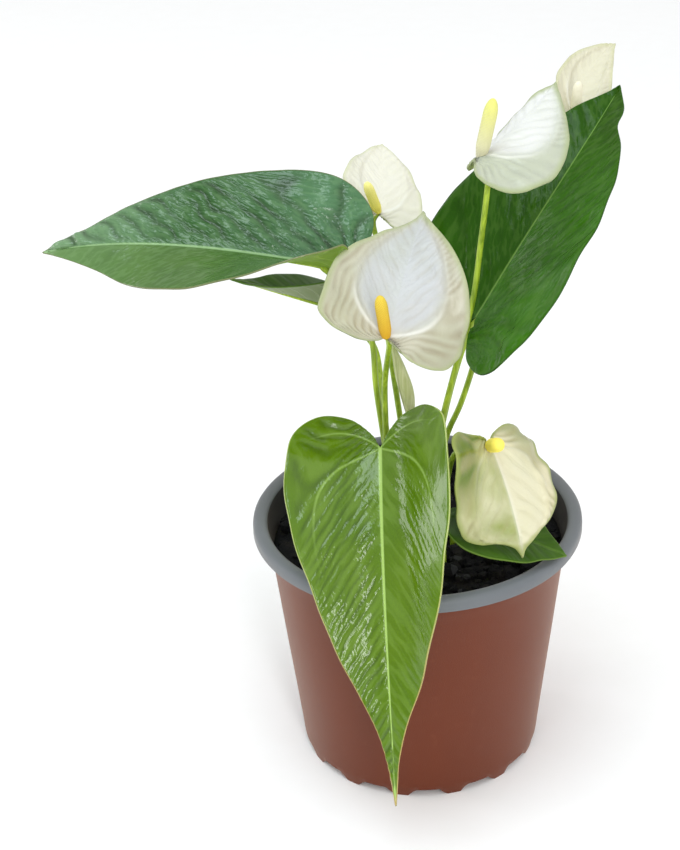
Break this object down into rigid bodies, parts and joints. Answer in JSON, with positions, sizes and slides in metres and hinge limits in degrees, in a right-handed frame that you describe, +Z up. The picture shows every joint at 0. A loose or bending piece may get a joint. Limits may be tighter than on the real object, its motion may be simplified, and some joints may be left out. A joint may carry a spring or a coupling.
{
  "type": "potted anthurium",
  "caption": "Potted anthurium with heart-shaped leaves and white blooms on thin stalks, in a round tapered plastic nursery pot with a rolled rim.",
  "frame": {"origin": "centre of the underside of the pot's base, on the ground", "axes": "+Z up along the pot's axis; -Y towards the front, where the long leaf hangs over the rim; +X to the right as seen from the front"},
  "size_m": [0.2246, 0.1958, 0.2751],
  "materials": {
    "pot": "smooth matte injection-moulded polypropylene, red-brown outside with a slate-grey rim and inside",
    "soil": null,
    "leaf_left": "glossy leaf, blue-green",
    "leaf_front": "glossy leaf, bright green",
    "leaf_right": "glossy leaf, dark green",
    "leaf_small": "satin leaf, dark green",
    "leaf_rear": "satin leaf, grey-green",
    "spathe_front": "waxy white spathe",
    "spathe_top": "waxy white spathe",
    "spathe_back": "waxy cream spathe",
    "spathe_far": "waxy cream spathe",
    "spathe_low": "waxy cream-green spathe",
    "bud": "furled pale green spathe",
    "spadix_front": "fine-grained yellow spike",
    "spadix_top": "fine-grained cream spike with a lime-yellow tip",
    "spadix_back": "fine-grained yellow spike",
    "spadix_far": "fine-grained pale yellow spike",
    "spadix_low": "fine-grained yellow spike",
    "stalk": "smooth green stalk"
  },
  "bodies": {
    "root": {"pot": "pot", "soil": "soil", "leaf_left": "leaf_left", "leaf_right": "leaf_right", "leaf_front": "leaf_front", "leaf_small": "leaf_small", "leaf_rear": "leaf_rear", "stalk_front": "stalk", "spathe_front": "spathe_front", "spadix_front": "spadix_front", "stalk_top": "stalk", "spathe_top": "spathe_top", "spadix_top": "spadix_top", "stalk_back": "stalk", "spathe_back": "spathe_back", "spadix_back": "spadix_back", "stalk_far": "stalk", "spathe_far": "spathe_far", "spadix_far": "spadix_far", "stalk_low": "stalk", "spathe_low": "spathe_low", "spadix_low": "spadix_low", "stalk_bud": "stalk", "bud": "bud"}
  },
  "joints": []
}
